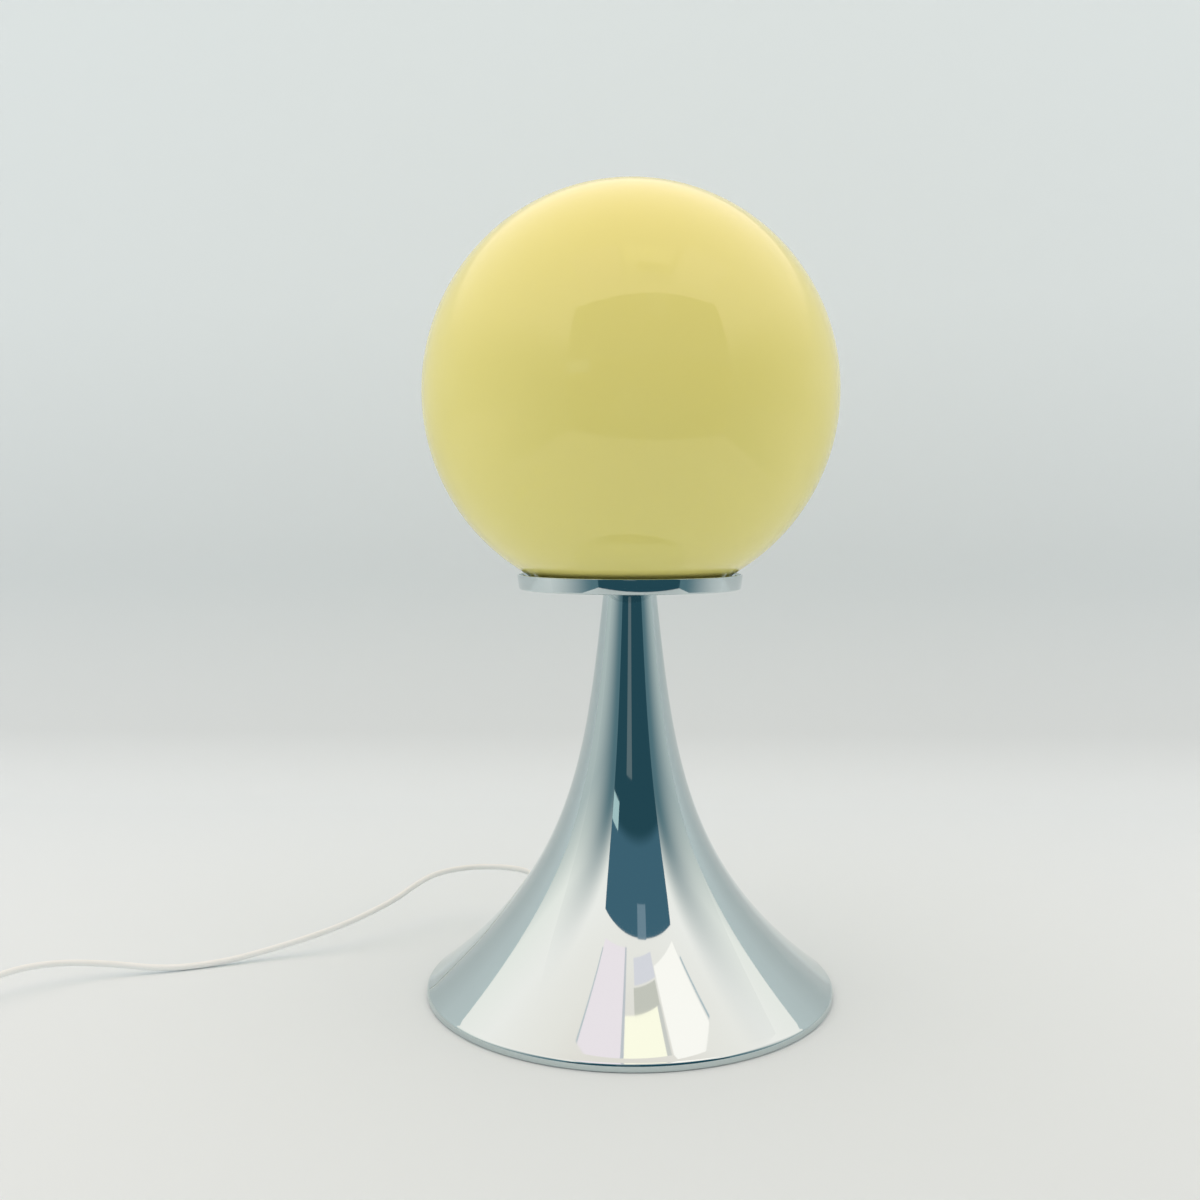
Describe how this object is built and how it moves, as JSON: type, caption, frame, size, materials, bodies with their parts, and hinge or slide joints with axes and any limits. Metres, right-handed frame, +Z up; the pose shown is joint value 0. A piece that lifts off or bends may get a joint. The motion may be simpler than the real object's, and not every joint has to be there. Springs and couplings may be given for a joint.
{
  "type": "table lamp",
  "caption": "Table lamp with a yellow opal glass globe on a shallow chrome dish and a flared chrome trumpet stand, with a corded inline switch.",
  "frame": {"origin": "on the floor under the middle of the round foot", "axes": "+Z up along the lamp's axis, -Y towards the viewer of the picture (front), +X to the right in it; the cord leaves at the back left"},
  "size_m": [0.5427, 0.4652, 0.4891],
  "materials": {
    "polished_chrome": "mirror polished",
    "opal_glass": "cased opal glass, pale yellow, glossy",
    "plated_steel": "zinc plated",
    "sheet_steel": "zinc plated sheet",
    "ballast_iron": "as cast",
    "foot_rubber": "matt",
    "holder_plastic": "satin",
    "holder_ceramic": "unglazed",
    "contact_brass": "bright",
    "bulb_opal": "opal, satin",
    "bulb_plastic": "satin",
    "bulb_cap_metal": "bright",
    "bulb_insulator_glass": "glossy",
    "white_plastic": "glossy moulding",
    "rocker_plastic": "glossy moulding",
    "cord_sheath": "smooth sheath",
    "core_brown": "smooth",
    "core_blue": "smooth",
    "pin_nickel": "bright plated"
  },
  "bodies": {
    "lamp": {"trumpet_base": "polished_chrome", "gallery_dish": "polished_chrome", "tie_tube": "plated_steel", "gallery_washer": "plated_steel", "gallery_nut": "plated_steel", "neck_washer": "plated_steel", "neck_nut": "plated_steel", "ballast_nut": "plated_steel", "plate_washer": "plated_steel", "plate_nut": "plated_steel", "bottom_plate": "sheet_steel", "ballast_disc": "ballast_iron", "foot_ring": "foot_rubber", "holder_cap": "holder_plastic", "holder_shell": "holder_plastic", "holder_core": "holder_ceramic", "holder_ring": "contact_brass", "centre_contact": "contact_brass", "terminal_screws": "contact_brass", "cord_gland": "white_plastic", "inner_cable": "cord_sheath", "cord_run": "cord_sheath", "cord_link": "cord_sheath", "cord_coil": "cord_sheath", "cord_tail": "cord_sheath", "core_live": "core_brown", "core_neutral": "core_blue", "switch_base": "white_plastic", "switch_cover": "white_plastic", "switch_screws": "plated_steel", "plug_body": "white_plastic", "plug_pins": "pin_nickel"},
    "globe": {"glass_globe": "opal_glass"},
    "bulb_contact": {"bulb_tip": "contact_brass", "bulb_insulator": "bulb_insulator_glass"},
    "bulb": {"bulb_cap": "bulb_cap_metal", "bulb_body": "bulb_plastic", "bulb_globe": "bulb_opal"},
    "rocker": {"switch_rocker": "rocker_plastic"}
  },
  "joints": [
    {"name": "globe_lift", "type": "slide", "parent": "lamp", "child": "globe", "axis": [0, 0, 1], "range_m": [0, 0.16]},
    {"name": "bulb_rise", "type": "slide", "parent": "lamp", "child": "bulb_contact", "axis": [0, 0, 1], "range_m": [0, 0.0092]},
    {"name": "bulb_turn", "type": "hinge", "parent": "bulb_contact", "child": "bulb", "pos_m": [0, 0, 0.3], "axis": [0, 0, 1], "range_deg": [0, 900]},
    {"name": "switch_rocker", "type": "hinge", "parent": "lamp", "child": "rocker", "pos_m": [-0.398, -0.123, 0.0122], "axis": [1, 0, 0], "range_deg": [0, 16]}
  ],
  "couplings": [
    {"joint": "bulb_rise", "follows": "bulb_turn", "m_per_rad": 0.00057773}
  ]
}
